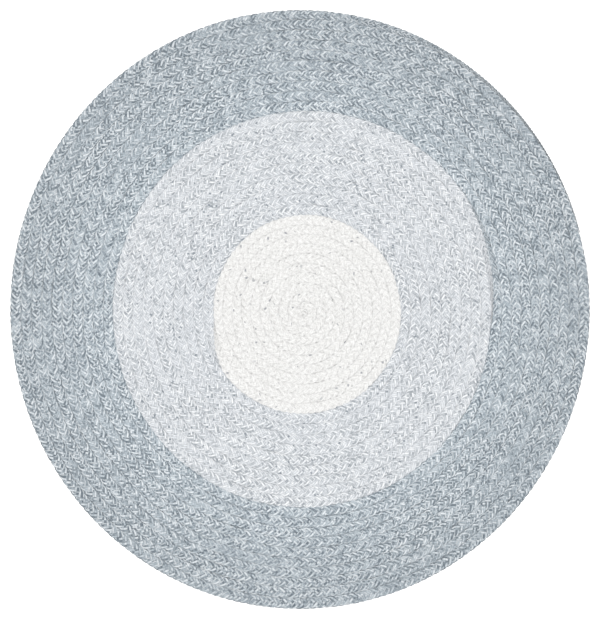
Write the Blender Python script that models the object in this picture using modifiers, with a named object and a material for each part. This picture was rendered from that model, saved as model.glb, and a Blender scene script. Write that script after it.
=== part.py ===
"""A round braided rug, modelled in Blender.

One flat three-strand braid, wound clockwise from the middle and laced to itself row by row. It
is worked in three lengths of different colour, whose tapered ends lie side by side at the two
colour joins, so there are three solids: the centre, middle and outer coils. Each has the coil's
real section: a
ribbed mat whose rows are raised on both faces, with a groove where two rows are laced together.
Metres, +Z up. The origin is on the floor under the middle of the rug. Angles of the winding are
clockwise seen from above, from +X, and radii are shares of the rug's own radius.
"""

import math
from dataclasses import dataclass

import bpy

# The rug
WIDTH = 1.500
LENGTH = 1.550
THICKNESS = 0.0118
RADIUS = math.sqrt(WIDTH * LENGTH) / 2.0  # of a circle of the same area

# A row's section
GROOVE_DEPTH = 0.0028
CROWN_FROM = 0.24  # of the row's width. The crown is flat from here to as far from the other side
EDGE_ROUND = 0.0035  # how far the outer edge rounds inwards
GAP = 0.0003  # between two lengths

# The winding, whose turns are counted from the start of the braid
STEPS = 36  # sections a turn
START_ANGLE = math.radians(345.0)
EYE_TURNS = 1.0  # the braid starts as a point and is at its full width after these
CENTRE_TURNS = 10.5
MIDDLE_TURNS = 9.5
OUTER_TURNS = 10.0
EYE_SHARE = 0.0082  # radius of the knot that the braid starts round
CENTRE_SHARE = 0.3129  # inner radius of the middle coil where it starts
MIDDLE_SHARE = 0.6431  # inner radius of the outer coil where it starts

# The end of the braid, tapered and sewn to the edge over the last part of its last turn
TAIL_WIDTH = 0.004
TAIL_FROM = 0.708
TAIL_SHARE = 1.0 - TAIL_WIDTH / RADIUS

# The rows are wound a little off the middle of the rug, and run parallel to its edge outside
EYE_OFFSET = (0.0119, -0.0054)
EVENS_OUT_FROM = 0.66
FULL_HEIGHT_WIDTH = 0.012  # a tapering braid has its full height where it is this wide

FIRST_JOIN = CENTRE_TURNS
SECOND_JOIN = FIRST_JOIN + MIDDLE_TURNS
END = SECOND_JOIN + OUTER_TURNS

# Where one length of braid narrows and the next one widens beside it, in sections around a join
FIRST_TAPER = (-2, 1)
SECOND_TAPER = (-2, 2)


@dataclass(frozen=True)
class Coil:
    """One length of braid: its name, the turns that it runs through, and its yarn.

    It widens and narrows over so many sections at its start and end, inside those turns.
    """

    name: str
    first: float
    last: float
    widens: int
    narrows: int
    colour: tuple
    roughness: float


def taper_end(join, taper, which):
    """The turn where the taper at a join starts, or where it ends."""
    return join + taper[which] / STEPS


def sections(taper):
    """How many sections a taper has."""
    return taper[1] - taper[0]


COILS = (
    Coil(
        "centre_coil",
        0.0,
        taper_end(FIRST_JOIN, FIRST_TAPER, 1),
        0,
        sections(FIRST_TAPER),
        (0.871, 0.864, 0.847),
        0.92,
    ),
    Coil(
        "middle_coil",
        taper_end(FIRST_JOIN, FIRST_TAPER, 0),
        taper_end(SECOND_JOIN, SECOND_TAPER, 1),
        sections(FIRST_TAPER),
        sections(SECOND_TAPER),
        (0.680, 0.708, 0.738),
        0.92,
    ),
    Coil(
        "outer_coil",
        taper_end(SECOND_JOIN, SECOND_TAPER, 0),
        END,
        sections(SECOND_TAPER),
        0,
        (0.451, 0.503, 0.540),
        0.92,
    ),
)


def smooth(x):
    """0 below 0, 1 above 1, and a smooth rise between."""
    x = min(1.0, max(0.0, x))
    return x * x * (3.0 - 2.0 * x)


def between(low, high, along):
    """The value at a share of the way from one to another."""
    return low + (high - low) * along


def seam_share(turn):
    """Radius of the seam on the inner side of the row at this turn."""
    if turn <= EYE_TURNS:
        return EYE_SHARE
    if turn <= FIRST_JOIN:
        return between(EYE_SHARE, CENTRE_SHARE, (turn - EYE_TURNS) / (FIRST_JOIN - EYE_TURNS))
    if turn <= SECOND_JOIN:
        return between(CENTRE_SHARE, MIDDLE_SHARE, (turn - FIRST_JOIN) / MIDDLE_TURNS)
    if turn > END:
        return 1.0
    whole, part = divmod(turn - SECOND_JOIN, 1.0)
    late = smooth((part - TAIL_FROM) / (1.0 - TAIL_FROM))
    rise = between(part, late, (turn - SECOND_JOIN) / OUTER_TURNS)
    return between(MIDDLE_SHARE, TAIL_SHARE, (whole + rise) / OUTER_TURNS)


def on_rug(turn, share, height):
    """The point at a turn and a radius."""
    angle = START_ANGLE + 2.0 * math.pi * turn
    off = 1.0 - smooth((share - EVENS_OUT_FROM) / (1.0 - EVENS_OUT_FROM))
    x = EYE_OFFSET[0] * off + share * WIDTH / 2.0 * math.cos(angle)
    y = EYE_OFFSET[1] * off - share * LENGTH / 2.0 * math.sin(angle)
    return (x, y, height)


class HalfCoil:
    """The upper half of one coil, above its middle plane, as points and faces.

    Section i is i / STEPS turns from the coil's start. The row there lies between seam i and
    seam i + STEPS, which is the next row's inner seam.
    """

    def __init__(self, coil):
        self.coil = coil
        self.points = []
        self.faces = []
        self.steps = round((coil.last - coil.first) * STEPS)
        self.has_eye = coil.first == 0.0
        self.has_edge = coil.last == END
        self.top = THICKNESS / 2.0
        self.groove = self.top - GROOVE_DEPTH

    def point(self, place):
        """Adds a point and gives its number."""
        self.points.append(place)
        return len(self.points) - 1

    def face(self, *numbers):
        """Adds a face, unless it has shrunk to a line where the braid starts."""
        numbers = list(dict.fromkeys(numbers))
        if len(numbers) > 2:
            self.faces.append(numbers)

    def turn(self, i):
        """The turn at section i."""
        return self.coil.first + i / STEPS

    def share(self, i):
        """The seam's radius at section i.

        At a coil's border it follows the tapers, half the gap from the neighbouring coil.
        """
        share = seam_share(self.turn(i))
        left = self.steps + STEPS - i
        if i < self.coil.widens:
            share = between(seam_share(self.turn(i + STEPS)), share, i / self.coil.widens)
        if left < self.coil.narrows:
            share = between(seam_share(self.turn(i - STEPS)), share, left / self.coil.narrows)
        if i <= STEPS and not self.has_eye:
            share += GAP / 2.0 / RADIUS
        if i >= self.steps and not self.has_edge:
            share -= GAP / 2.0 / RADIUS
        return share

    def rim(self, i):
        """The seam's radius, drawn in at the rug's edge to round it."""
        if i < self.steps or not self.has_edge:
            return self.share(i)
        width = (self.share(i) - self.share(i - STEPS)) * RADIUS
        return self.share(i) - min(EDGE_ROUND, width / 2.0) / RADIUS

    def seam(self, i):
        """Adds the seam's point at section i."""
        return self.point(on_rug(self.turn(i), self.rim(i), self.groove))

    def foot(self, i):
        """Adds the point under a border seam, on the middle plane."""
        return self.point(on_rug(self.turn(i), self.share(i), 0.0))

    def crown(self, i):
        """Adds the two edges of the row's flat crown, which is lower where the braid tapers."""
        inner, outer = self.rim(i), self.rim(i + STEPS)
        full = smooth((outer - inner) * RADIUS / FULL_HEIGHT_WIDTH)
        height = between(self.groove, self.top, full)
        shares = [between(inner, outer, across) for across in (CROWN_FROM, 1.0 - CROWN_FROM)]
        return [self.point(on_rug(self.turn(i), share, height)) for share in shares]

    def build(self):
        """Makes the seams, the crowns between them, and the walls at the coil's borders.

        Each coil starts as a point, and ends as one except at the rug's edge.
        """
        last = self.steps + STEPS
        seams = []
        for i in range(last + 1):
            if i == STEPS:
                seams.append(seams[0])
            elif i == last and not self.has_edge:
                seams.append(seams[self.steps])
            else:
                seams.append(self.seam(i))
        crowns = [(seams[0], seams[0])]
        for i in range(1, self.steps + 1):
            ends_as_point = i == self.steps and not self.has_edge
            crowns.append((seams[i], seams[i]) if ends_as_point else self.crown(i))
        halfway = self.outer_wall(seams, crowns[-1])
        for i in range(self.steps):
            (inner, outer), (next_inner, next_outer) = crowns[i], crowns[i + 1]
            beyond = i + STEPS
            middle = [halfway[beyond]] if beyond in halfway else []
            self.face(seams[i], seams[i + 1], next_inner, inner)
            self.face(inner, next_inner, next_outer, outer)
            self.face(outer, next_outer, seams[beyond + 1], *middle, seams[beyond])
        if self.has_eye:
            self.eye(seams)
        else:
            self.inner_wall(seams)

    def eye(self, seams):
        """Closes the knot that the braid starts round with a low dome."""
        top = self.point(on_rug(0.0, 0.0, (self.top + self.groove) / 2.0))
        for i in range(STEPS):
            self.face(top, seams[i + 1], seams[i])

    def inner_wall(self, seams):
        """The wall towards the coil inside."""
        feet = [self.foot(i) for i in range(STEPS)]
        for i in range(STEPS):
            self.face(seams[i], feet[i], feet[(i + 1) % STEPS], seams[i + 1])

    def outer_wall(self, seams, crown):
        """The wall towards the coil outside, or the rug's edge, with the last row's end.

        The rug's edge has a point halfway along each section too, so that it is rounder. Returns
        those on the seam, by section.
        """
        first, last = self.steps, self.steps + STEPS
        halfway = {}
        start = below = self.foot(first)
        for i in range(first, last):
            closes = i + 1 == last and not self.has_edge
            after = start if closes else self.foot(i + 1)
            above = seams[i]
            if self.has_edge:
                halfway[i] = self.seam(i + 0.5)
                under = self.foot(i + 0.5)
                self.face(above, halfway[i], under, below)
                above, below = halfway[i], under
            self.face(above, seams[i + 1], after, below)
            below = after
        self.face(seams[first], start, below, seams[last], *reversed(crown))
        return halfway


def yarn(coil):
    """The coil's material."""
    material = bpy.data.materials.new(f"{coil.name}_yarn")
    material.use_nodes = True
    shader = material.node_tree.nodes["Principled BSDF"]
    shader.inputs["Base Color"].default_value = (*coil.colour, 1.0)
    shader.inputs["Roughness"].default_value = coil.roughness
    shader.inputs["Metallic"].default_value = 0.0
    return material


def make_coil(coil, collection):
    """One coil: its upper half, mirrored to the lower face."""
    half = HalfCoil(coil)
    half.build()
    mesh = bpy.data.meshes.new(coil.name)
    mesh.from_pydata(half.points, [], half.faces)
    mesh.materials.append(yarn(coil))
    piece = bpy.data.objects.new(coil.name, mesh)
    piece.location = (0.0, 0.0, THICKNESS / 2.0)
    collection.objects.link(piece)
    mirror = piece.modifiers.new("lower face", "MIRROR")
    mirror.use_axis = (False, False, True)
    mirror.use_mirror_merge = True
    mirror.merge_threshold = 0.00001


def main():
    """Clears the scene and makes the rug."""
    for old in list(bpy.data.objects):
        bpy.data.objects.remove(old, do_unlink=True)
    rug = bpy.data.collections.new("braided_rug")
    bpy.context.scene.collection.children.link(rug)
    for coil in COILS:
        make_coil(coil, rug)


main()
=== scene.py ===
"""Looks of the round braided rug: its strands plaited and wound row by row, on a pale floor.

The rug is one flat braid of three strands, wound clockwise from the middle and laced to itself.
It is worked in three lengths: ivory, pale ice-grey and blue-grey. Each strand is made here as the
flattened tube that it is, going over and under the two others all along the winding. Metres, +Z
up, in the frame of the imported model. Angles of the winding are clockwise seen from above, from
+X, and radii are shares of the rug's own radius.
"""

from __future__ import annotations

import logging
import math
from dataclasses import dataclass, replace
from enum import Enum

import bpy
import numpy as np
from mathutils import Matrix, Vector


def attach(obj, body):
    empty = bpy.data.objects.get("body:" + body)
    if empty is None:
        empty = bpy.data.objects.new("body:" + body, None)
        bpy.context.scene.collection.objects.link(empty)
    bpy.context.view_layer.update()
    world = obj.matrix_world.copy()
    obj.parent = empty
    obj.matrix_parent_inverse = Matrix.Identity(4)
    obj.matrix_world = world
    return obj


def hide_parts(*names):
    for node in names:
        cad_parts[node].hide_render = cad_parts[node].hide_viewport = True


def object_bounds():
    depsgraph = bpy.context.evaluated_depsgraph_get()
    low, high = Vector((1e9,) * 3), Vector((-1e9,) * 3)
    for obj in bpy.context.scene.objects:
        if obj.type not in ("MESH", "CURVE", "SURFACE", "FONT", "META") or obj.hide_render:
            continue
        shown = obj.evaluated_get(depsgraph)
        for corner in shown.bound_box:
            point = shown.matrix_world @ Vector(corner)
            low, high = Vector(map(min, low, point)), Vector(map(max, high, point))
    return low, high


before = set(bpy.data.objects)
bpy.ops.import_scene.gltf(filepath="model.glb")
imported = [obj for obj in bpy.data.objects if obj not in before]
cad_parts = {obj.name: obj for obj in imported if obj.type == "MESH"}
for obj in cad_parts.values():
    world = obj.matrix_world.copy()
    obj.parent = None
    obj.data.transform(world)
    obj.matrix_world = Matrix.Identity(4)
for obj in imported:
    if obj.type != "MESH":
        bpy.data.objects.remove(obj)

LOG = logging.getLogger("braided_rug")
Colour = tuple[float, float, float]
Place = tuple[float, float, float]


def plain(box: tuple) -> list[list[float]]:
    """A box's two corners as plain lists of numbers."""
    return [[float(x) for x in corner] for corner in box]


CAD_BOX = plain(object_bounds())


def smooth(x: np.ndarray | float) -> np.ndarray:
    """0 below 0, 1 above 1, and a smooth rise between."""
    x = np.clip(x, 0.0, 1.0)
    return x * x * (3.0 - 2.0 * x)


def between(low: np.ndarray | float, high: np.ndarray | float, along: np.ndarray) -> np.ndarray:
    """The value at a share of the way from one to another."""
    return low + (high - low) * along


def units(vectors: np.ndarray) -> np.ndarray:
    """The same directions, each of length 1."""
    return vectors / np.linalg.norm(vectors, axis=1, keepdims=True)


def added(name: str, data: bpy.types.ID, place: Place = (0.0, 0.0, 0.0)) -> bpy.types.Object:
    """Adds an object to the scene.

    Args:
        name: Its name.
        data: Its mesh, lamp or camera.
        place: Where it stands.

    Returns:
        The object.
    """
    piece = bpy.data.objects.new(name, data)
    piece.location = place
    bpy.context.scene.collection.objects.link(piece)
    return piece


def lengths_along(line: np.ndarray) -> np.ndarray:
    """How long a line is up to each of its points."""
    steps = np.linalg.norm(np.diff(line, axis=0), axis=1)
    return np.concatenate([[0.0], np.cumsum(steps)])


@dataclass(frozen=True)
class Wander:
    """A slow, uneven drift along the braid, of three swings that don't soon fall together again.

    Attributes:
        size: How far it usually goes to either side.
        swing: The usual length of one swing, in metres.
        start: Where the first strand's drift starts, in radians.
        apart: How much further on the drift of each next strand starts.
    """

    FASTER = 1.618
    SLOWER = 0.382
    SHIFTED = 2.1
    FURTHEST = 2.2  # that the three together usually go

    size: float
    swing: float
    start: float
    apart: float = 0.0

    def at(self, along: np.ndarray, strand: int = 0) -> np.ndarray:
        """The drift at places along the braid.

        Args:
            along: The places, in metres.
            strand: 0, 1 or 2.

        Returns:
            The drift at each.
        """
        start = self.start + self.apart * strand
        turns = 2.0 * math.pi * along / self.swing + start
        fast = np.sin(self.FASTER * turns + self.SHIFTED * start)
        parts = np.sin(turns) + fast + np.sin(self.SLOWER * turns + start)
        return self.size * (parts / self.FURTHEST)


# ------------------------------------ Shader maths


class Socket:
    """A node's output, on which arithmetic adds Math nodes."""

    def __init__(self, tree: ShaderTree, output: bpy.types.NodeSocket) -> None:
        """Wraps an output of a node in the tree."""
        self.tree = tree
        self.output = output

    def maths(self, operation: str, *others: Socket | float) -> Socket:
        """This value and others through one Math node.

        Args:
            operation: The Math node's operation.
            others: Its second and third values, if it has them.

        Returns:
            The result.
        """
        return self.tree.node(
            "ShaderNodeMath", {"operation": operation}, dict(enumerate((self, *others)))
        )

    def __add__(self, other: Socket | float) -> Socket:
        """Sum."""
        return self.maths("ADD", other)

    def __sub__(self, other: Socket | float) -> Socket:
        """Difference."""
        return self.maths("SUBTRACT", other)

    def __rsub__(self, other: float) -> Socket:
        """Difference from a plain number."""
        inputs = {0: other, 1: self}
        return self.tree.node("ShaderNodeMath", {"operation": "SUBTRACT"}, inputs)

    def __mul__(self, other: Socket | float) -> Socket:
        """Product."""
        return self.maths("MULTIPLY", other)

    __radd__ = __add__
    __rmul__ = __mul__

    def __pow__(self, other: float) -> Socket:
        """Power."""
        return self.maths("POWER", other)

    def __abs__(self) -> Socket:
        """Size without sign."""
        return self.maths("ABSOLUTE")

    def floor(self) -> Socket:
        """The whole number at or below."""
        return self.maths("FLOOR")

    def sine(self) -> Socket:
        """Sine of an angle in radians."""
        return self.maths("SINE")

    def clamped(self) -> Socket:
        """Kept between 0 and 1."""
        return self.maths("MINIMUM", 1.0).maths("MAXIMUM", 0.0)

    def rising(self, low: float, high: float) -> Socket:
        """0 below low, 1 above high, and a straight rise between."""
        return ((self - low) * (1.0 / (high - low))).clamped()


class ShaderTree:
    """A new material's nodes."""

    def __init__(self, name: str) -> None:
        """Starts a material with one Principled shader."""
        self.material = bpy.data.materials.new(name)
        self.material.use_nodes = True
        self.nodes = self.material.node_tree.nodes
        self.links = self.material.node_tree.links
        self.shader = self.nodes["Principled BSDF"]

    def node(
        self, kind: str, settings: dict[str, object], inputs: dict, output: int | str = 0
    ) -> Socket:
        """Adds a node.

        Args:
            kind: The node's type.
            settings: Its own properties, set before its inputs.
            inputs: A value or link for each of its inputs, by name or number.
            output: The output to give back, by name or number.

        Returns:
            That output.
        """
        made = self.nodes.new(kind)
        for name, value in settings.items():
            setattr(made, name, value)
        for name, value in inputs.items():
            self.set(made.inputs[name], value)
        return Socket(self, made.outputs[output])

    def set(self, socket: bpy.types.NodeSocket, value: Socket | Colour | float) -> None:
        """Links a socket or gives it a plain value.

        Args:
            socket: A node's input.
            value: What it gets.
        """
        if isinstance(value, Socket):
            self.links.new(value.output, socket)
        elif isinstance(value, tuple) and socket.type == "RGBA":
            socket.default_value = (*value, 1.0)
        else:
            socket.default_value = value

    def vector(self, x: Socket, y: Socket | float) -> Socket:
        """Two values as one vector."""
        return self.node("ShaderNodeCombineXYZ", {}, {"X": x, "Y": y})

    def parts(self, vector: Socket) -> tuple[Socket, Socket]:
        """A vector's X and Y."""
        split = self.node("ShaderNodeSeparateXYZ", {}, {"Vector": vector})
        return split, Socket(self, split.output.node.outputs["Y"])

    def noise(self, place: Socket, detail: float = 0.0, scale: float = 1.0) -> Socket:
        """Noise of so many waves a unit, mostly between 0.2 and 0.8."""
        inputs = {"Vector": place, "Scale": scale, "Detail": detail}
        return self.node("ShaderNodeTexNoise", {}, inputs, "Fac")

    def waves(self, along: Socket, a_metre: float, line: float) -> Socket:
        """Noise of so many waves a metre along a line. Another line has other noise."""
        return self.noise(self.vector(along * a_metre, line))

    def chance(self, place: Socket) -> Socket:
        """An even random value from 0 to 1 for each place."""
        return self.node("ShaderNodeTexWhiteNoise", {}, {"Vector": place}, "Value")

    def mix(self, share: Socket, low: Socket | Colour, high: Socket | Colour) -> Socket:
        """Goes from one colour to another."""
        inputs = {"Factor": share, 6: low, 7: high}
        return self.node("ShaderNodeMix", {"data_type": "RGBA"}, inputs, 2)

    def bump(self, height: Socket, distance: float) -> Socket:
        """A normal for a relief of this height, in metres at 1."""
        return self.node("ShaderNodeBump", {}, {"Height": height, "Distance": distance}, "Normal")

    def surface(self, inputs: dict[str, Socket | Colour | float]) -> bpy.types.Material:
        """Sets the shader's inputs.

        Args:
            inputs: A value or link for each, by name.

        Returns:
            The material.
        """
        for name, value in inputs.items():
            self.set(self.shader.inputs[name], value)
        return self.material


# ------------------------------------ Finishes

STRAND_MAP = "strand"  # metres along the strand, and share of the way round it
ROW_MAP = "row"  # place across the row, from -1 to 1, and metres along the braid
BAKE_MAP = "OFBake"  # the unrolled strand, a map to bake the colours through
STRAND_APART = 100.0  # on the strand's map, between two strands of a braid
YARNS = 9  # that lie round a strand, side by side
BLACK: Colour = (0.0, 0.0, 0.0)

# How often an unevenness comes and goes, in waves a metre, and its line through the noise
DRIFT = (1.7, 0.31)
LIVELY = (4.0, 0.77)
# the next two set where the painted shade in the seams and in the row's middle comes and goes
SEAM_SHADE_WAVES = (5.0, 0.9)
CREASE_SHADE_WAVES = (14.0, 0.4)
PATCHED = (28.0, 0.13)
GRAIN_WAVES = 210.0
FIBRE_WAVES = 900.0
FIBRES_ACROSS = 9.0  # waves over the width of one yarn

# The surface of a yarn
CROWN_FLATNESS = 0.7  # the power of a half sine
SLANT = 5.0  # of its own twist, in radians over its width
CROWN_HEIGHT = 0.8
PLY_HEIGHT = 0.12
FIBRE_HEIGHT = 0.25
FIBRE_SHADE = 0.3
ROUGHNESS = 0.98  # between two yarns
CROWN_SMOOTHER = 0.1
SHINE = 0.2
FUZZ_ROUGHNESS = 0.7

# The melange
LIVELY_SWING = 1.5  # how far the unevenness itself swings, around 1
LIVELY_LEAST = 0.3
SWAPS = 0.6  # of strokes side by side, in the usual length of a light or dark one
SWAP_LINE = 0.5
SWAP_EDGE = 0.04
YARN_APART = 7.31  # on the noise, between two yarns
OTHER_YARNS = 31.0  # added to a yarn's number for other noise
STRETCHED = 2.2  # so that the noise mostly fills a range of 1
FLECK_SHIFT = 0.371  # of a fleck's length, between two yarns
FLECK_EDGE = 0.01
DEEPENS = (0.53, 0.765)  # metres from the rug's middle between which its rows get darker
# the next three place the painted shade in the seams and in the row's middle
SEAM = (0.86, 0.96)  # of the row's half width, between which the lacing's shade begins
SEAM_SHADE_FROM = (0.4, 0.6)  # of the noise, between which the lacing pulls and the painted shade in the seams begins
CREASES_WIDE = 4.5  # row's half width over the width of the painted shade in the crease


@dataclass(frozen=True)
class Spot:
    """Where a shaded point lies, as values in a yarn's material.

    Attributes:
        tree: The material's nodes.
        along: Metres along the strand.
        across: Yarns round the strand, with a part for the place on each.
        yarn: The number of the yarn round the strand.
        across_row: The place across the row, from -1 to 1.
        along_row: Metres along the braid.
    """

    tree: ShaderTree
    along: Socket
    across: Socket
    yarn: Socket
    across_row: Socket
    along_row: Socket

    def stretches(self, length: float, shift: float = 0.0) -> Socket:
        """A smooth random swing along each yarn, mostly from -0.5 to 0.5.

        Args:
            length: Usual length of its lighter or darker stretches.
            shift: Added to the yarn's number for other stretches.

        Returns:
            The swing.
        """
        place = self.tree.vector(self.along * (1.0 / length), (self.yarn + shift) * YARN_APART)
        return (self.tree.noise(place, 1.0) - 0.5) * STRETCHED


@dataclass(frozen=True)
class YarnFinish:
    """Spun melange yarn: a ground colour with lighter and darker lengths and flecks, and painted
    shade.

    Attributes:
        name: The material's name.
        ground: The usual colour.
        light: The colour of the light lengths.
        dark: The colour of the dark lengths.
        fleck: The darkest flecks' colour.
        contrast: How far the melange swings towards light and dark.
        light_flecks: Share of the yarn in the lightest short flecks.
        dark_flecks: Share of the yarn in the darkest short flecks.
        mottle: How far short lengths of one yarn differ.
        paired: How far yarns side by side differ.
        unlike: How far the three strands differ.
        drift: How far long stretches of a whole strand differ.
        patches: How far short stretches of it differ.
        grain: How far loose fibres, lying every way, change the colour.
        gap_shade: How dark the painted shade is between two yarns.
        length: Of a light or dark length of one yarn, in metres.
        fleck_length: Of a fleck.
        ply: One turn of the yarn's own twist.
        relief: Height of its surface.
        fuzz: Loose fibres that catch light on its flanks.
        crease_shade: How dark the painted shade is where the strands dip in the row's middle.
        lacing_shade: How dark the painted shade is in the seams where the lacing pulls them in.
        deepening: How much darker the outermost rows are.
    """

    name: str
    ground: Colour
    light: Colour
    dark: Colour
    fleck: Colour
    contrast: float
    light_flecks: float
    dark_flecks: float
    mottle: float
    paired: float
    unlike: float
    drift: float = 0.3
    patches: float = 1.7
    grain: float = 1.0
    gap_shade: float = 0.4
    length: float = 0.011
    fleck_length: float = 0.005
    ply: float = 0.0035
    relief: float = 0.0009
    fuzz: float = 0.2
    crease_shade: float = 0.16
    lacing_shade: float = 0.55
    deepening: float = 0.0

    def material(self) -> bpy.types.Material:
        """Makes the yarn's material.

        Returns:
            The material, for meshes that have the maps of their strand and row.
        """
        tree = ShaderTree(self.name)
        along, around = tree.parts(tree.node("ShaderNodeUVMap", {"uv_map": STRAND_MAP}, {}))
        across_row, along_row = tree.parts(tree.node("ShaderNodeUVMap", {"uv_map": ROW_MAP}, {}))
        across = around * YARNS
        spot = Spot(tree, along, across, across.floor(), across_row, along_row)
        swing = self.swing(spot)
        colour = tree.mix(swing.clamped(), self.ground, self.light)
        colour = tree.mix((swing * -1.0).clamped(), colour, self.dark)
        colour = self.flecked(spot, colour)
        colour = tree.mix(self.outermost(tree) * self.deepening, colour, BLACK)
        # painted shade in the row's middle and in the seams
        colour = tree.mix(self.crease_and_seam_shade(spot), colour, BLACK)
        relief, shade = self.twist(spot)
        inputs = {
            "Base Color": tree.mix(shade, BLACK, colour),
            "Roughness": ROUGHNESS - CROWN_SMOOTHER * relief,
            "Specular IOR Level": SHINE,
            "Sheen Weight": self.fuzz,
            "Sheen Roughness": FUZZ_ROUGHNESS,
            "Normal": tree.bump(relief, self.relief),
        }
        return tree.surface(inputs)

    def swing(self, spot: Spot) -> Socket:
        """How light or dark the melange is.

        Args:
            spot: Where the point lies.

        Returns:
            A value that is above 0 where it is lighter than the ground, and below where darker.
        """
        tree = spot.tree
        lively = tree.waves(spot.along_row, *LIVELY) * LIVELY_SWING
        lively = (lively + (1.0 - LIVELY_SWING / 2.0)).maths("MAXIMUM", LIVELY_LEAST)
        tone = spot.stretches(self.length)
        short = spot.stretches(self.fleck_length, OTHER_YARNS)
        own = tone * self.contrast + short * self.mottle + self.strokes(spot)
        strand = 1.0 - (spot.along * (1.0 / STRAND_APART)).floor()
        drift = tree.waves(spot.along, *DRIFT) - 0.5
        patch = tree.waves(spot.along, *PATCHED) - 0.5
        place = tree.node("ShaderNodeTexCoord", {}, {}, "Object")
        grain = tree.noise(place, 1.0, GRAIN_WAVES) - 0.5
        swing = own * lively + strand * self.unlike + drift * self.drift
        return swing + patch * self.patches + grain * self.grain

    def strokes(self, spot: Spot) -> Socket:
        """Light and dark strokes side by side, of every other yarn, that now and then swap.

        Args:
            spot: Where the point lies.

        Returns:
            What they add to the melange's swing.
        """
        half = spot.yarn * 0.5
        parity = (half - half.floor()) * 4.0 - 1.0
        swapped = spot.tree.waves(spot.along, SWAPS / self.length, SWAP_LINE)
        swapped = swapped.rising(0.5 - SWAP_EDGE, 0.5 + SWAP_EDGE)
        return (parity * swapped * 2.0 - parity) * self.paired

    def flecked(self, spot: Spot, colour: Socket) -> Socket:
        """The yarn's colour with its short flecks, which fade at both ends.

        Args:
            spot: Where the point lies.
            colour: The colour without them.

        Returns:
            The colour with them.
        """
        tree = spot.tree
        place = spot.along * (1.0 / self.fleck_length) + spot.yarn * FLECK_SHIFT
        luck = tree.chance(tree.vector(place.floor(), spot.yarn))
        faded = ((place - place.floor()) * math.pi).sine() ** 0.5
        light, dark = 1.0 - self.light_flecks, 1.0 - self.dark_flecks
        is_light = luck.rising(light - FLECK_EDGE, light)
        is_dark = (1.0 - luck).rising(dark - FLECK_EDGE, dark)
        colour = tree.mix(is_light * faded, colour, self.light)
        return tree.mix(is_dark * faded, colour, self.fleck)

    def crease_and_seam_shade(self, spot: Spot) -> Socket:
        """The painted shade in the row's middle and, here and there, in its seams.

        Args:
            spot: Where the point lies.

        Returns:
            The share of the colour that the painted shade takes away.
        """
        aside = abs(spot.across_row)
        middle = (1.0 - aside * CREASES_WIDE).clamped()
        uneven = spot.tree.waves(spot.along_row, *CREASE_SHADE_WAVES)
        seam_shaded = spot.tree.waves(spot.along_row, *SEAM_SHADE_WAVES).rising(*SEAM_SHADE_FROM)
        return middle * uneven * self.crease_shade + aside.rising(*SEAM) * seam_shaded * self.lacing_shade

    @staticmethod
    def outermost(tree: ShaderTree) -> Socket:
        """0 over most of the rug, rising to 1 at its edge."""
        x, y = tree.parts(tree.node("ShaderNodeTexCoord", {}, {}, "Object"))
        return ((x * x + y * y) ** 0.5).rising(*DEEPENS)

    def twist(self, spot: Spot) -> tuple[Socket, Socket]:
        """The relief of the yarns side by side and of each one's own twist and fibres.

        Args:
            spot: Where the point lies.

        Returns:
            The height from 0 to 1, and the share of the colour left by painted shade between yarns.
        """
        crown = abs((spot.across * math.pi).sine()) ** CROWN_FLATNESS
        slant = (spot.across - spot.yarn) * SLANT
        plies = (spot.along * (2.0 * math.pi / self.ply) + slant).sine()
        place = spot.tree.vector(spot.along * FIBRE_WAVES, spot.across * FIBRES_ACROSS)
        fibres = spot.tree.noise(place, 1.0) - 0.5
        relief = crown * CROWN_HEIGHT + plies * crown * PLY_HEIGHT + fibres * FIBRE_HEIGHT
        # painted shade: the colour darkens between the yarns, where each crown falls away, plus
        # fibre noise
        shade = (1.0 - self.gap_shade) + self.gap_shade * crown + fibres * FIBRE_SHADE
        return relief, shade.clamped()


class Yarn(Enum):
    """The three yarns of the rug."""

    IVORY = YarnFinish(
        name="ivory_yarn",
        ground=(0.695, 0.692, 0.682),
        light=(0.755, 0.753, 0.745),
        dark=(0.58, 0.577, 0.567),
        fleck=(0.28, 0.29, 0.31),
        contrast=0.4,
        light_flecks=0.02,
        dark_flecks=0.004,
        mottle=0.5,
        paired=0.25,
        unlike=0.06,
        patches=0.35,
        grain=4.2,
        gap_shade=0.15,
        fleck_length=0.0085,
        crease_shade=0.04,
        lacing_shade=0.07,
    )
    PALE_GREY = YarnFinish(
        name="pale_grey_yarn",
        ground=(0.608, 0.632, 0.662),
        light=(0.75, 0.765, 0.78),
        dark=(0.31, 0.337, 0.363),
        fleck=(0.20, 0.23, 0.26),
        contrast=1.1,
        light_flecks=0.04,
        dark_flecks=0.012,
        mottle=0.95,
        paired=0.42,
        unlike=0.1,
        patches=1.0,
        grain=0.7,
        crease_shade=0.1,
        lacing_shade=0.24,
    )
    BLUE_GREY = YarnFinish(
        name="blue_grey_yarn",
        ground=(0.405, 0.460, 0.503),
        light=(0.66, 0.70, 0.73),
        dark=(0.15, 0.185, 0.215),
        fleck=(0.11, 0.14, 0.17),
        contrast=0.8,
        light_flecks=0.03,
        dark_flecks=0.012,
        mottle=1.1,
        paired=0.54,
        unlike=0.12,
        deepening=0.12,
    )


# ------------------------------------ The winding and the plait

Arrays = tuple[np.ndarray, ...]


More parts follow.
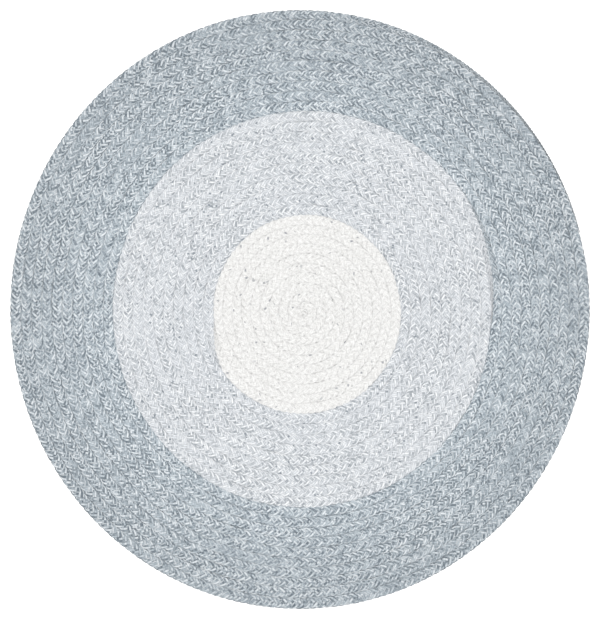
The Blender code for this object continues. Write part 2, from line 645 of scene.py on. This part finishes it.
@dataclass(frozen=True)
class Winding:
    """The spiral of seams, whose turns are counted from the start of the braid.

    Attributes:
        width: The rug's size across.
        length: The rug's size the other way.
        start_angle: Where the braid starts, in degrees clockwise.
        eye: Radius of the knot that the braid starts round.
        knot_turns: The braid's inner seam leaves the very middle after these.
        joins: The turns where one length of braid gives way to the next.
        join_shares: The inner seam's radius there.
        tapers: From how many turns before each join to how many after it one length narrows and
            the next one widens beside it.
        end: The turn where the braid ends.
        end_step: Turns over which the edge steps in there.
        tail_from: Share of the last turn where its tail starts to taper.
        tail_width: The tail's width at its end.
        eye_offset: How far the inner rows' middle lies from the rug's.
        evens_out_from: The radius where the rows start to follow the edge.
        sway: How far a seam wanders to either side.
        sways_over: Turns over which that builds up.
        still_turns: The last turns, without it.
        still_share: Share of the radius over which it dies out towards the edge.
    """

    width: float
    length: float
    start_angle: float = 345.0
    eye: float = 0.0082
    knot_turns: float = 0.3
    joins: tuple[float, float] = (10.5, 20.0)
    join_shares: tuple[float, float] = (0.3129, 0.6431)
    tapers: tuple[tuple[float, float], ...] = ((-2.0 / 36.0, 1.0 / 36.0), (-2.0 / 36.0, 2.0 / 36.0))
    end: float = 30.0
    end_step: float = 0.02
    tail_from: float = 0.708
    tail_width: float = 0.0022
    eye_offset: tuple[float, float] = (0.0119, -0.0054)
    evens_out_from: float = 0.66
    sway: Wander = Wander(size=0.0007, swing=0.21, start=1.3)
    sways_over: float = 2.0
    still_turns: float = 0.3
    still_share: float = 0.05

    @property
    def radius(self) -> float:
        """Radius of a circle of the rug's area."""
        return math.sqrt(self.width * self.length) / 2.0

    def share(self, turn: np.ndarray) -> np.ndarray:
        """Radius of the seam inside the row, whose sway dies out at the eye and the edge.

        Args:
            turn: Turns from the start of the braid.

        Returns:
            Shares of the rug's radius.
        """
        first, second = self.joins
        low, high = self.join_shares
        tail = 1.0 - self.tail_width / self.radius
        outer_turns = self.end - second
        eye = self.eye * smooth((turn - self.knot_turns) / (1.0 - self.knot_turns))
        centre = between(self.eye, low, (turn - 1.0) / (first - 1.0))
        middle = between(low, high, (turn - first) / (second - first))
        whole, part = np.divmod(turn - second, 1.0)
        late = smooth((part - self.tail_from) / (1.0 - self.tail_from))
        rise = between(part, late, (turn - second) / outer_turns)
        outer = between(high, tail, (whole + rise) / outer_turns)
        edge = between(tail, 1.0, smooth((turn - self.end) / self.end_step))
        reached = [turn <= 1.0, turn <= first, turn <= second, turn <= self.end]
        even = np.select(reached, [eye, centre, middle, outer], edge)
        path = 2.0 * math.pi * self.radius * even * turn / 2.0
        loose = smooth((turn - 1.0) / self.sways_over) * (turn < self.end - self.still_turns)
        near_edge = smooth((1.0 - even) / self.still_share)
        return even + self.sway.at(path) * loose * near_edge / self.radius

    def point(self, turn: np.ndarray, share: np.ndarray) -> np.ndarray:
        """Places seen from above.

        Args:
            turn: Turns from the start of the braid.
            share: Radii.

        Returns:
            X and Y for each.
        """
        angle = math.radians(self.start_angle) + 2.0 * math.pi * turn
        off = 1.0 - smooth((share - self.evens_out_from) / (1.0 - self.evens_out_from))
        x = self.eye_offset[0] * off + share * self.width / 2.0 * np.cos(angle)
        y = self.eye_offset[1] * off - share * self.length / 2.0 * np.sin(angle)
        return np.stack([x, y], axis=1)


@dataclass(frozen=True)
class Reach:
    """The turns that one length of braid runs through, with its tapered ends.

    Attributes:
        first: Where it starts.
        widens: Turns over which it widens from its start. It lies outside the last length there.
        last: Where it ends.
        narrows: Turns over which it narrows to its end. It lies inside the next length there.
    """

    first: float
    widens: float
    last: float
    narrows: float

    def sides(self, turn: np.ndarray) -> Arrays:
        """Where this length lies across the whole row.

        Args:
            turn: Turns from the start of the braid.

        Returns:
            Shares of the row, from its inner seam, between which it lies.
        """
        inner, outer = np.zeros(len(turn)), np.ones(len(turn))
        if self.widens:
            inner = 1.0 - np.clip((turn - self.first) / self.widens, 0.0, 1.0)
        if self.narrows:
            outer = np.clip((self.last - turn) / self.narrows, 0.0, 1.0)
        return inner, outer


@dataclass(frozen=True)
class Rows:
    """The row of braid at a run of places.

    Attributes:
        middle: X and Y of its middle.
        outwards: The way outwards, seen from above.
        width: Its width.
    """

    TAPER_PRESSED = 0.0035  # how much wider a length is than its space where it tapers to a point

    middle: np.ndarray
    outwards: np.ndarray
    width: np.ndarray

    def part(self, inner: np.ndarray, outer: np.ndarray) -> Rows:
        """A part of the row, pressed into its neighbours.

        Args:
            inner: Share of the row's width where the part starts.
            outer: Share where it ends.

        Returns:
            The part, as rows of their own.
        """
        share = outer - inner
        aside = ((inner + outer - 1.0) / 2.0 * self.width)[:, None]
        middle = self.middle + self.outwards * aside
        return Rows(middle, self.outwards, self.width * share + self.TAPER_PRESSED * (1.0 - share))


class Course:
    """The braid's middle line along the whole winding, by its length."""

    SAMPLES = 720  # a turn

    def __init__(self, winding: Winding) -> None:
        """Measures the winding."""
        self.winding = winding
        self.turns = np.linspace(0.0, winding.end, int(winding.end * self.SAMPLES) + 1)
        self.lengths = lengths_along(self.rows(self.turns).middle)

    def rows(self, turns: np.ndarray) -> Rows:
        """The whole row of braid.

        Args:
            turns: Turns from the start of the braid.

        Returns:
            The row at each.
        """
        inner = self.winding.point(turns, self.winding.share(turns))
        outer = self.winding.point(turns, self.winding.share(turns + 1.0))
        width = np.linalg.norm(outer - inner, axis=1)
        return Rows((inner + outer) / 2.0, (outer - inner) / width[:, None], width)

    def braid(self, reach: Reach, along: np.ndarray) -> tuple[np.ndarray, Rows]:
        """The turns at places along the braid, and the part of the row that is this length's."""
        turn = np.interp(along, self.lengths, self.turns)
        return turn, self.rows(turn).part(*reach.sides(turn))

    def length_at(self, turn: float) -> float:
        """The length of braid up to a turn."""
        return float(np.interp(turn, self.turns, self.lengths))


@dataclass(frozen=True)
class Sections:
    """Where one length of a strand has its sections.

    Attributes:
        strand: 0, 1 or 2.
        along: Places along the braid, in metres.
        times: How often a strand has crossed over and back by then.
        rows: The row there.
        at_edge: Whether it is the rug's last row.
    """

    strand: int
    along: np.ndarray
    times: np.ndarray
    rows: Rows
    at_edge: np.ndarray


@dataclass(frozen=True)
class Plait:
    """How three soft, flattened strands go over and under each other.

    Attributes:
        thickness: Of the whole braid.
        period: Length of braid in which a strand crosses over and back.
        usual_width: Where the braid is narrower than this, the strands cross more often.
        crowded: Share of the period that is left where the braid is a point.
        full_width: A tapering braid has its full thickness where it is this wide.
        thinned: Share of its thickness that is left where it is a point.
        steps: Sections of a strand in one period.
        sides: Points round a strand.
        fullness: Of its section: 1 is an ellipse and 0 would be a box.
        flat_thickness: Of one strand where it crosses.
        flat_share: Its width there, as a share of the row's width.
        turned_thickness: Its thickness where it turns at the row's edge, drawn together.
        turned_share: Its width there.
        turn_sharpness: How short the part is that is drawn together.
        roundest: Its greatest thickness for its width.
        reach_share: How far out its middle goes, as a share of the row's half width.
        straightness: From a curved way across the row at 0 to a zigzag at 1.
        hugging: Above 1, it follows the row's edge for longer where it turns.
        late: How long after the row's middle a strand comes up, in radians of its rise and fall.
        squareness: Below 1, it stays high or low for longer, with a steeper way between.
        level_from: Share of the half thickness above which the braid is pressed level.
        squeezed_from: Share of a row's half width beyond which it is pressed together.
        pressed: How far a turning strand presses into the next row.
        hurry: How far all crossings come early or late, in radians.
        own_hurry: How far one strand's do.
        broadening: How much wider or narrower a strand is, as a share.
        reaching: How much further out or less far it goes, as a share.
        pressing: How much further or less far it presses into the next row, as a share.
    """

    FINE = 20001  # places along a strand where its row's width is read
    STEEPEST = 0.05  # least share of a slope that is left where it is pressed

    thickness: float
    period: float = 0.0545
    usual_width: float = 0.02
    crowded: float = 0.35
    full_width: float = 0.012
    thinned: float = 0.8
    steps: int = 14
    sides: int = 8
    fullness: float = 0.55
    flat_thickness: float = 0.0064
    flat_share: float = 0.57
    turned_thickness: float = 0.0100
    turned_share: float = 0.33
    turn_sharpness: int = 6
    roundest: float = 1.3
    reach_share: float = 0.8
    straightness: float = 0.95
    hugging: float = 1.1
    late: float = 0.3
    squareness: float = 0.7
    level_from: float = 0.6
    squeezed_from: float = 0.88
    pressed: float = 0.0020
    hurry: Wander = Wander(size=0.22, swing=0.9, start=0.4)
    own_hurry: Wander = Wander(size=0.10, swing=0.16, start=1.0, apart=1.0)
    broadening: Wander = Wander(size=0.05, swing=0.11, start=0.7, apart=2.0)
    reaching: Wander = Wander(size=0.06, swing=0.07, start=0.2, apart=3.1)
    pressing: Wander = Wander(size=0.5, swing=0.13, start=2.3)

    def sections(self, course: Course, reach: Reach, strand: Strand) -> Sections:
        """Divides a strand, which crosses more often where the braid is narrow.

        Args:
            course: The braid's course.
            reach: The length of braid that the strand belongs to.
            strand: The strand.

        Returns:
            Its sections.
        """
        fine = np.linspace(strand.start, strand.end, self.FINE)
        width = course.braid(reach, fine)[1].width
        often = 1.0 / between(self.crowded, 1.0, np.clip(width / self.usual_width, 0.0, 1.0))
        times = np.concatenate([[0.0], np.cumsum(often[1:] + often[:-1]) / 2.0])
        middle = len(fine) // 2
        times = ((times - times[middle]) * (fine[1] - fine[0]) + fine[middle]) / self.period
        even = np.linspace(times[0], times[-1], round((times[-1] - times[0]) * self.steps) + 1)
        along = np.interp(even, times, fine)
        turn, rows = course.braid(reach, along)
        return Sections(strand.number, along, even, rows, turn > course.winding.end - 1.0)

    def centres(self, at: Sections) -> Arrays:
        """The middle line of one strand.

        Args:
            at: Its sections.

        Returns:
            Its points, its width and its thickness.
        """
        rows, along, strand = at.rows, at.along, at.strand
        uneven = self.hurry.at(along) + self.own_hurry.at(along, strand)
        phase = 2.0 * math.pi * (at.times + strand / 3.0) + uneven
        body = between(self.thinned, 1.0, smooth(rows.width / self.full_width))
        swing = np.arcsin(self.straightness * np.sin(phase)) / math.asin(self.straightness)
        swing = np.sign(swing) * (1.0 - (1.0 - np.abs(swing)) ** self.hugging)
        turning = np.sin(phase) ** self.turn_sharpness
        wide = between(self.flat_share, self.turned_share, turning) * rows.width
        wide = wide * (1.0 + self.broadening.at(along, strand))
        thick = between(self.flat_thickness, self.turned_thickness, turning) * body
        thick = np.minimum(thick, self.roundest * wide)
        reach = self.reach_share * rows.width / 2.0
        reach = reach * (1.0 + self.reaching.at(along, strand))
        flat = rows.middle + rows.outwards * (swing * reach)[:, None]
        wave = np.sin(2.0 * phase - self.late)
        wave = np.sign(wave) * np.abs(wave) ** self.squareness
        height = (self.thickness + (self.thickness * body - thick) * wave) / 2.0
        return np.column_stack([flat, height]), wide, thick

    def tube(self, at: Sections) -> Arrays:
        """One strand as rings of points, pressed level between the braid's two faces.

        Args:
            at: Its sections.

        Returns:
            The points and their normals, as rings by sides by X, Y and Z, and each point's place
            across its row.
        """
        points, wide, thick = self.centres(at)
        ahead = units(np.gradient(points, axis=0))
        face = units(np.array([0.0, 0.0, 1.0]) - ahead * ahead[:, 2:3])
        edge = np.cross(face, ahead)
        angle = 2.0 * math.pi * np.arange(self.sides) / self.sides
        rings, normals = points[:, None, :], 0.0
        for circle, size, way in ((np.cos(angle), wide, edge), (np.sin(angle), thick, face)):
            half, way = size[:, None, None] / 2.0, way[:, None, :]
            rings = rings + self.full(circle, self.fullness) * half * way
            normals = normals + self.full(circle, 2.0 - self.fullness) / half * way
        half = self.thickness / 2.0
        part, left = self.squeezed(rings[:, :, 2] / half - 1.0, self.level_from)
        rings[:, :, 2] = half * (1.0 + part)
        normals[:, :, 2] /= left
        return rings, normals, self.press_together(rings, normals, at)

    def press_together(self, rings: np.ndarray, normals: np.ndarray, at: Sections) -> np.ndarray:
        """Presses a strand sideways, a little way into the next rows.

        Args:
            rings: The strand's points, which are moved.
            normals: Their normals, which are turned.
            at: Its sections.

        Returns:
            Each point's place across its row, from -1 to 1.
        """
        level = np.zeros(len(at.along))
        outwards = np.column_stack([at.rows.outwards, level])[:, None, :]
        middle = np.column_stack([at.rows.middle, level])[:, None, :]
        aside = ((rings - middle) * outwards).sum(axis=2)
        free_edge = (aside > 0.0) & at.at_edge[:, None]
        meeting = self.pressed * (1.0 + self.pressing.at(at.along))[:, None]
        half = at.rows.width[:, None] / 2.0 + np.where(free_edge, 0.0, meeting)
        part, left = self.squeezed(aside / half, self.squeezed_from)
        rings += (half * part - aside)[:, :, None] * outwards
        sideways = (normals * outwards).sum(axis=2)
        normals += (sideways / left - sideways)[:, :, None] * outwards
        return part

    @staticmethod
    def full(circle: np.ndarray, power: float) -> np.ndarray:
        """A circle's coordinates raised to a power, with their signs kept, as a column."""
        return (np.sign(circle) * np.abs(np.round(circle, 9)) ** power)[:, None]

    @classmethod
    def squeezed(cls, part: np.ndarray, start: float) -> Arrays:
        """Shares of a half size pressed into it, and how much of each slope is left.

        Args:
            part: Shares, from -1 at one side to 1 at the other, or beyond.
            start: The share from which they are pressed.

        Returns:
            The shares, now within -1 and 1, and what is left of each slope.
        """
        room = 1.0 - start
        above = np.tanh(np.maximum(np.abs(part) - start, 0.0) / room)
        pressed = np.minimum(np.abs(part), start) + room * above
        return np.sign(part) * pressed, np.maximum(1.0 - above**2, cls.STEEPEST)


@dataclass(frozen=True)
class Strand:
    """One strand of a coil, over part or all of the coil's length.

    Attributes:
        name: The piece's name.
        number: 0, 1 or 2.
        start: Where it starts, in metres along the braid.
        end: Where it ends.
    """

    RIBBON_MARGIN = 0.08  # above and below the strand, of a ribbon's height
    END_RADIUS = 0.4  # of an end's disc, of a ribbon's height

    name: str
    number: int
    start: float
    end: float

    def build(
        self, course: Course, reach: Reach, plait: Plait, material: bpy.types.Material
    ) -> tuple[bpy.types.Object, float, float]:
        """Makes the strand.

        Args:
            course: The braid's course.
            reach: The length of braid that it belongs to.
            plait: How the strands are plaited.
            material: The yarn.

        Returns:
            The piece, its length and its width laid flat.
        """
        sections = plait.sections(course, reach, self)
        rings, normals, across = plait.tube(sections)
        own = lengths_along(rings.mean(axis=1))
        round_it = np.linalg.norm(rings - np.roll(rings, 1, axis=1), axis=2).sum(axis=1)
        round_it = float(round_it.mean())
        mesh = bpy.data.meshes.new(self.name)
        mesh.from_pydata(rings.reshape(-1, 3).tolist(), [], self.faces(len(rings), plait.sides))
        mesh.materials.append(material)
        mesh.shade_smooth()
        mesh.normals_split_custom_set_from_vertices(units(normals.reshape(-1, 3)).tolist())
        self.map_strand(mesh, own, plait.sides)
        self.map_row(mesh, across, sections.along)
        self.map_unrolled(mesh, own, round_it, plait.sides)
        return added(self.name, mesh), float(own[-1]), round_it / 2.0

    @staticmethod
    def faces(count: int, sides: int) -> list[list[int]]:
        """The faces of a tube.

        Args:
            count: How many rings it has.
            sides: Points on each.

        Returns:
            The quads along it, and then its two ends.
        """
        ring = np.arange(count - 1)[:, None] * sides
        side = np.arange(sides)
        after = (side + 1) % sides
        quads = np.stack(
            [ring + side, ring + after, ring + sides + after, ring + sides + side], axis=2
        )
        ends = [list(range(sides))[::-1], list(range((count - 1) * sides, count * sides))]
        return quads.reshape(-1, 4).tolist() + ends

    @staticmethod
    def corners(
        low: np.ndarray, high: np.ndarray, side: np.ndarray, after: np.ndarray
    ) -> np.ndarray:
        """Where the quads' corners lie on a map of a tube.

        Args:
            low: Each quad's first place along the tube.
            high: Its second place along.
            side: Its first place round the tube.
            after: Its second place round.

        Returns:
            Two coordinates, by ring, side and corner.
        """
        places = np.empty((len(low), len(side), 4, 2))
        for corner, (u, v) in enumerate(((low, side), (low, after), (high, after), (high, side))):
            places[:, :, corner, 0] = u[:, None]
            places[:, :, corner, 1] = v[None, :]
        return places

    def map_strand(self, mesh: bpy.types.Mesh, own: np.ndarray, sides: int) -> None:
        """Adds the map of metres along the strand and share of the way round it.

        Args:
            mesh: The strand's mesh.
            own: Metres along the strand at each ring.
            sides: Points round the strand.
        """
        place = own + (self.start + STRAND_APART * self.number)
        side = np.arange(sides) / sides
        corners = self.corners(place[:-1], place[1:], side, side + 1.0 / sides)
        ends = np.array([[end, 0.5] for end in (place[0], place[-1]) for _ in range(sides)])
        self.write(mesh, STRAND_MAP, corners, ends)

    def map_row(self, mesh: bpy.types.Mesh, across: np.ndarray, along: np.ndarray) -> None:
        """Adds the map of places across the row and metres along the braid.

        Args:
            mesh: The strand's mesh.
            across: Each point's place across its row.
            along: Metres along the braid at each ring.
        """
        after = np.roll(across, -1, axis=1)
        corners = np.empty((len(along) - 1, across.shape[1], 4, 2))
        corners[:, :, :, 0] = np.stack([across[:-1], after[:-1], after[1:], across[1:]], axis=2)
        corners[:, :, :2, 1] = along[:-1, None, None]
        corners[:, :, 2:, 1] = along[1:, None, None]
        ends = [np.column_stack([across[i], np.full(len(across[i]), along[i])]) for i in (0, -1)]
        self.write(mesh, ROW_MAP, corners, np.concatenate(ends))

    def map_unrolled(
        self, mesh: bpy.types.Mesh, own: np.ndarray, round_it: float, sides: int
    ) -> None:
        """Adds the map of the strand unrolled and laid in ribbons one above another.

        Args:
            mesh: The strand's mesh.
            own: Metres along the strand at each ring.
            round_it: The way round the strand.
            sides: Points round the strand.
        """
        margin = self.RIBBON_MARGIN
        ribbons = max(1, math.ceil(math.sqrt(own[-1] / (round_it * (1.0 + 2.0 * margin)))))
        first = np.arange(len(own) - 1)
        a_ribbon = math.ceil(len(first) / ribbons)
        ribbon, place = np.divmod(first, a_ribbon)
        side = margin + (1.0 - 2.0 * margin) * np.arange(sides) / sides
        after = side + (1.0 - 2.0 * margin) / sides
        corners = self.corners(place / a_ribbon, (place + 1.0) / a_ribbon, side, after)
        corners[:, :, :, 1] = (ribbon[:, None, None] + corners[:, :, :, 1]) / (ribbons + 1.0)
        angle = 2.0 * math.pi * np.arange(sides) / sides
        disc = np.column_stack([np.cos(angle), np.sin(angle)]) * self.END_RADIUS / (ribbons + 1.0)
        high_up = (ribbons + 0.5) / (ribbons + 1.0)
        ends = np.concatenate([disc * (-1.0, 1.0) + (0.25, high_up), disc + (0.75, high_up)])
        self.write(mesh, BAKE_MAP, corners, ends)

    @staticmethod
    def write(mesh: bpy.types.Mesh, name: str, corners: np.ndarray, ends: np.ndarray) -> None:
        """Writes a map, one place for each corner of the quads and then of the two ends."""
        places = np.concatenate([corners.reshape(-1, 2), ends])
        mesh.uv_layers.new(name=name).data.foreach_set("uv", places.astype(np.float32).ravel())


@dataclass(frozen=True)
class Coil:
    """One length of braid, wound: three strands of one yarn.

    Attributes:
        node: The solid that the strands stand for.
        slot: The record's name for its finish. It is not used.
        yarn: What it is plaited from.
        word: The start of its strands' names.
        reach: The turns that it runs through.
        plait: How it is plaited.
        lengths: How many lengths of strand follow each other in it.
        tip: Share of a taper that is too thin to plait.
    """

    node: str
    slot: str
    yarn: Yarn
    word: str
    reach: Reach
    plait: Plait
    lengths: int = 1
    tip: float = 0.06

    def build(self, course: Course) -> None:
        """Args:
            course: The braid's course.
        """
        material = self.yarn.value.material()
        start = course.length_at(self.reach.first + self.tip * self.reach.widens)
        end = course.length_at(self.reach.last - self.tip * self.reach.narrows)
        cuts = np.linspace(start, end, self.lengths + 1)
        for number in range(3):
            for part in range(self.lengths):
                ending = f"_{'abc'[part]}" if self.lengths > 1 else ""
                name = f"{self.word}_strand_{number + 1}{ending}"
                strand = Strand(name, number, float(cuts[part]), float(cuts[part + 1]))
                piece, length, width = strand.build(course, self.reach, self.plait, material)
                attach(piece, "root")
                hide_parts(self.node)
                LOG.info("%s: %.1f m long, %.1f mm wide laid flat", name, length, width * 1000.0)


@dataclass(frozen=True)
class Rug:
    """The whole rug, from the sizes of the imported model.

    Attributes:
        low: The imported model's lowest corner.
        high: Its highest corner.
        start: The turn before which the braid is too thin to plait.
        outer_pressed: How far the outer coil's strands, which lie looser, press over the seams.
    """

    low: list[float]
    high: list[float]
    start: float = 0.12
    outer_pressed: float = 0.0015

    def reaches(self, winding: Winding) -> tuple[Reach, Reach, Reach]:
        """The turns of the three lengths of braid.

        Args:
            winding: The spiral that they are wound in.

        Returns:
            The turns that each runs through, from the middle outwards.
        """
        first, second = winding.joins
        (before_1, after_1), (before_2, after_2) = winding.tapers
        taper_1, taper_2 = after_1 - before_1, after_2 - before_2
        return (
            Reach(self.start, 0.0, first + after_1, taper_1),
            Reach(first + before_1, taper_1, second + after_2, taper_2),
            Reach(second + before_2, taper_2, winding.end, 0.0),
        )

    def build(self) -> None:
        """Winds and plaits the three coils."""
        width, length, thickness = (b - a for a, b in zip(self.low, self.high))
        course = Course(Winding(width, length))
        centre, middle, outer = self.reaches(course.winding)
        plait = Plait(thickness)
        looser = replace(plait, pressed=self.outer_pressed)
        ivory, pale, blue = Yarn.IVORY, Yarn.PALE_GREY, Yarn.BLUE_GREY
        coils = (
            Coil("centre_coil", "ivory_braid", ivory, "ivory", centre, plait),
            Coil("middle_coil", "pale_grey_braid", pale, "pale_grey", middle, plait, 2),
            Coil("outer_coil", "blue_grey_braid", blue, "blue_grey", outer, looser, 2),
        )
        for coil in coils:
            coil.build(course)


# ------------------------------------ The studio


@dataclass(frozen=True)
class Studio:
    """A plain pale floor, soft light and a camera straight above the rug.

    Attributes:
        rug_length: The rug's size up the picture.
        height: The camera's height.
        picture_rows: Height of the photograph, in pixels.
        rug_rows: Height of the rug in it, in pixels.
        off_centre: How far right and up of the picture's middle the rug's middle lies, in pixels.
        sensor: Width of the camera's sensor, in millimetres.
        floor_side: The floor's side.
        paint: The floor's colour.
        paint_roughness: Its roughness.
        daylight: Strength of the even light from all round.
        lamp_height: Where the large soft lamp hangs, over the rug's middle.
        lamp_side: Its side.
        lamp_power: In watts.
    """

    rug_length: float
    height: float = 3.2
    picture_rows: float = 620.0
    rug_rows: float = 597.3
    off_centre: tuple[float, float] = (0.03, 0.49)
    sensor: float = 36.0
    floor_side: float = 12.0
    paint: Colour = (0.99, 0.99, 0.99)
    paint_roughness: float = 0.9
    daylight: float = 0.3
    lamp_height: float = 6.0
    lamp_side: float = 2.6
    lamp_power: float = 455.0

    def build(self) -> None:
        """Makes the floor, the light and the camera."""
        self.floor()
        self.sky()
        self.lamp()
        self.camera()
        bpy.context.scene.view_settings.view_transform = "Standard"

    def floor(self) -> None:
        """Lays the floor."""
        half = self.floor_side / 2.0
        corners = [(-half, -half, 0.0), (half, -half, 0.0), (half, half, 0.0), (-half, half, 0.0)]
        mesh = bpy.data.meshes.new("floor")
        mesh.from_pydata(corners, [], [(0, 1, 2, 3)])
        paint = {"Base Color": self.paint, "Roughness": self.paint_roughness}
        mesh.materials.append(ShaderTree("floor_paint").surface(paint))
        added("floor", mesh)

    def sky(self) -> None:
        """Fills the room with even pale light."""
        world = bpy.data.worlds.new("studio")
        world.use_nodes = True
        back = world.node_tree.nodes["Background"]
        back.inputs["Color"].default_value = (1.0, 1.0, 1.0, 1.0)
        back.inputs["Strength"].default_value = self.daylight
        bpy.context.scene.world = world

    def lamp(self) -> None:
        """Hangs the lamp, which shines straight down."""
        light = bpy.data.lights.new("overhead", "AREA")
        light.shape = "SQUARE"
        light.size = self.lamp_side
        light.energy = self.lamp_power
        added("overhead", light, (0.0, 0.0, self.lamp_height))

    def camera(self) -> None:
        """Hangs the camera over the rug, so that the rug fills the picture as photographed."""
        pixel = self.rug_length / self.rug_rows
        lens = bpy.data.cameras.new("camera")
        lens.sensor_width = self.sensor
        lens.lens = self.sensor * self.height / (pixel * self.picture_rows)
        right, up = self.off_centre
        place = (-right * pixel, -up * pixel, self.height)
        bpy.context.scene.camera = added("camera", lens, place)


def main() -> None:
    """Builds the studio and the rug."""
    logging.basicConfig(level=logging.INFO, format="%(name)s: %(message)s")
    low, high = CAD_BOX
    Studio(high[1] - low[1]).build()
    Rug(low, high).build()


if __name__ == "__main__":
    main()
